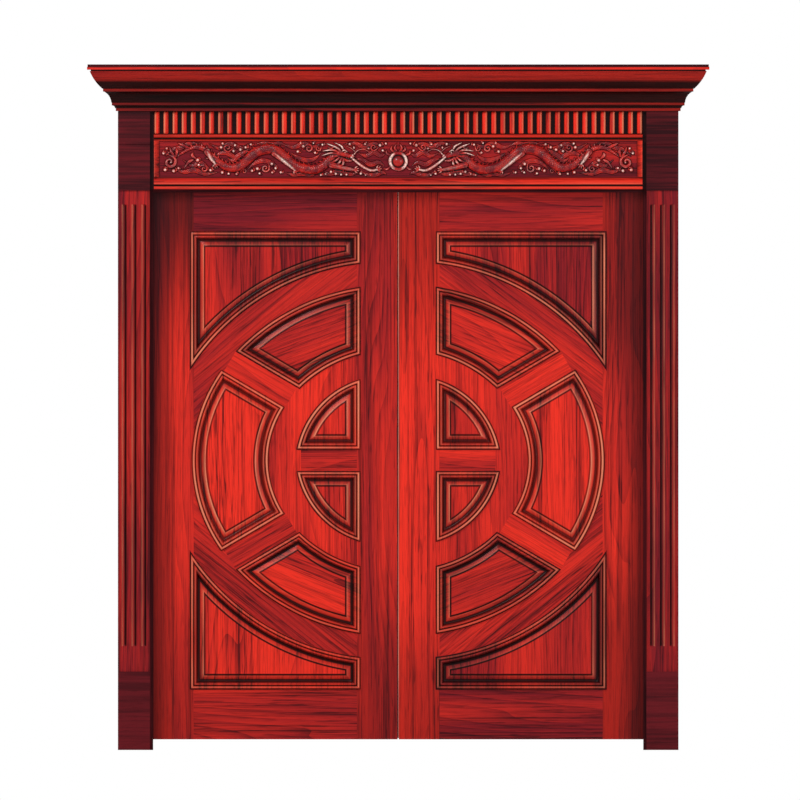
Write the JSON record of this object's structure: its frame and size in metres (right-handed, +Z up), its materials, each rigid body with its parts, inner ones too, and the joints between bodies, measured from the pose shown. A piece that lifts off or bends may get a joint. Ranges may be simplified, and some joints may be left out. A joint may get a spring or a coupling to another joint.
{
  "type": "carved double door",
  "caption": "Carved double door in its frame: hinged leaves with raised panels in an oval wheel pattern, fluted pilasters, dragon frieze, reed band and cornice.",
  "frame": {"origin": "floor level, middle of the door's width and of its depth", "axes": "+X to the right seen from the front, +Y into the building, away from the front, +Z up"},
  "size_m": [2.334, 0.2615, 2.571],
  "materials": {
    "mahogany": "red lacquered mahogany, satin gloss",
    "dark_mahogany": "dark stained mahogany, satin gloss",
    "hinge_steel": "brushed"
  },
  "bodies": {
    "frame": {"left_jamb": "mahogany", "right_jamb": "mahogany", "head_jamb": "mahogany", "left_pilaster": "mahogany", "right_pilaster": "mahogany", "left_plinth": "dark_mahogany", "right_plinth": "dark_mahogany", "left_capital": "dark_mahogany", "right_capital": "dark_mahogany", "cornice_front": "mahogany", "cornice_left_return": "mahogany", "cornice_right_return": "mahogany", "cornice_cover": "dark_mahogany", "reed_band": "mahogany", "frieze_board": "dark_mahogany", "frieze_base": "mahogany", "frieze_top": "mahogany", "frieze_left_end": "mahogany", "frieze_right_end": "mahogany", "left_dragon": "mahogany", "right_dragon": "mahogany", "pearl": "mahogany", "hinge_jamb_plates": "hinge_steel", "hinge_pins": "hinge_steel"},
    "left_leaf": {"left_hinge_stile": "mahogany", "left_meeting_stile": "mahogany", "left_top_rail": "mahogany", "left_bottom_rail": "mahogany", "left_upper_arch": "mahogany", "left_lower_arch": "mahogany", "left_upper_spoke": "mahogany", "left_lower_spoke": "mahogany", "left_hub": "mahogany", "left_mid_rail": "mahogany", "left_upper_spandrel": "mahogany", "left_upper_fan": "mahogany", "left_upper_quarter": "mahogany", "left_ring_panel": "mahogany", "left_lower_quarter": "mahogany", "left_lower_fan": "mahogany", "left_lower_spandrel": "mahogany", "left_hinge_plates": "hinge_steel"},
    "right_leaf": {"right_hinge_stile": "mahogany", "right_meeting_stile": "mahogany", "right_top_rail": "mahogany", "right_bottom_rail": "mahogany", "right_upper_arch": "mahogany", "right_lower_arch": "mahogany", "right_upper_spoke": "mahogany", "right_lower_spoke": "mahogany", "right_hub": "mahogany", "right_mid_rail": "mahogany", "right_upper_spandrel": "mahogany", "right_upper_fan": "mahogany", "right_upper_quarter": "mahogany", "right_ring_panel": "mahogany", "right_lower_quarter": "mahogany", "right_lower_fan": "mahogany", "right_lower_spandrel": "mahogany", "right_hinge_plates": "hinge_steel"}
  },
  "joints": [
    {"name": "left_leaf_hinge", "type": "hinge", "parent": "frame", "child": "left_leaf", "pos_m": [-0.9295, 0.12375, 1.07], "axis": [0, 0, 1], "range_deg": [0, 105]},
    {"name": "right_leaf_hinge", "type": "hinge", "parent": "frame", "child": "right_leaf", "pos_m": [0.9295, 0.12375, 1.07], "axis": [0, 0, -1], "range_deg": [0, 105]}
  ]
}
